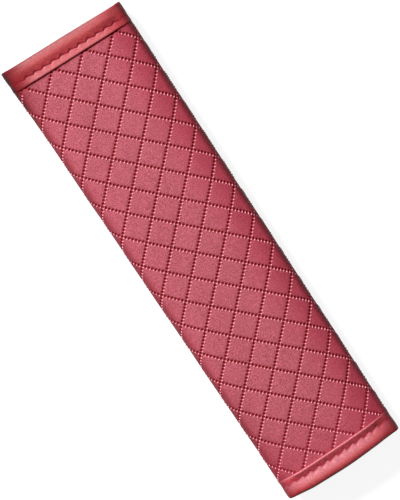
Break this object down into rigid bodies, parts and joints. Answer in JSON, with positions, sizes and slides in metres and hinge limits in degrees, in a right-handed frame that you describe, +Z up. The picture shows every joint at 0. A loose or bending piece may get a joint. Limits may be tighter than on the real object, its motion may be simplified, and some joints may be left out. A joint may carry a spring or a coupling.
{
  "type": "seat belt shoulder pad",
  "caption": "Padded leather sleeve with diamond quilting that wraps round a car seat belt at the shoulder and closes along its back by hook and loop strips.",
  "frame": {"origin": "middle of the surface that the pad lies on, closure side down", "axes": "+X along the pad towards its lower end, +Y across it, +Z up out of the quilted front"},
  "size_m": [0.2506, 0.0652, 0.0213],
  "materials": {
    "quilted_leather": "rose red synthetic leather with fine grain and stitched diamond quilting, satin",
    "binding_leather": "smooth red leather strip, slightly warmer and glossier than the cover",
    "foam": "thin open-cell foam",
    "lining_fabric": "black knitted spacer mesh",
    "hook_tape": "woven tape with a field of small plastic hooks",
    "loop_tape": "woven tape with a brushed loop pile"
  },
  "bodies": {
    "root": {"quilted_cover": "quilted_leather", "foam_padding": "foam", "inner_lining": "lining_fabric", "upper_end_binding": "binding_leather", "lower_end_binding": "binding_leather", "inner_flap_hem": "binding_leather", "outer_flap_hem": "binding_leather", "hook_strip": "hook_tape", "loop_strip": "loop_tape"}
  },
  "joints": []
}
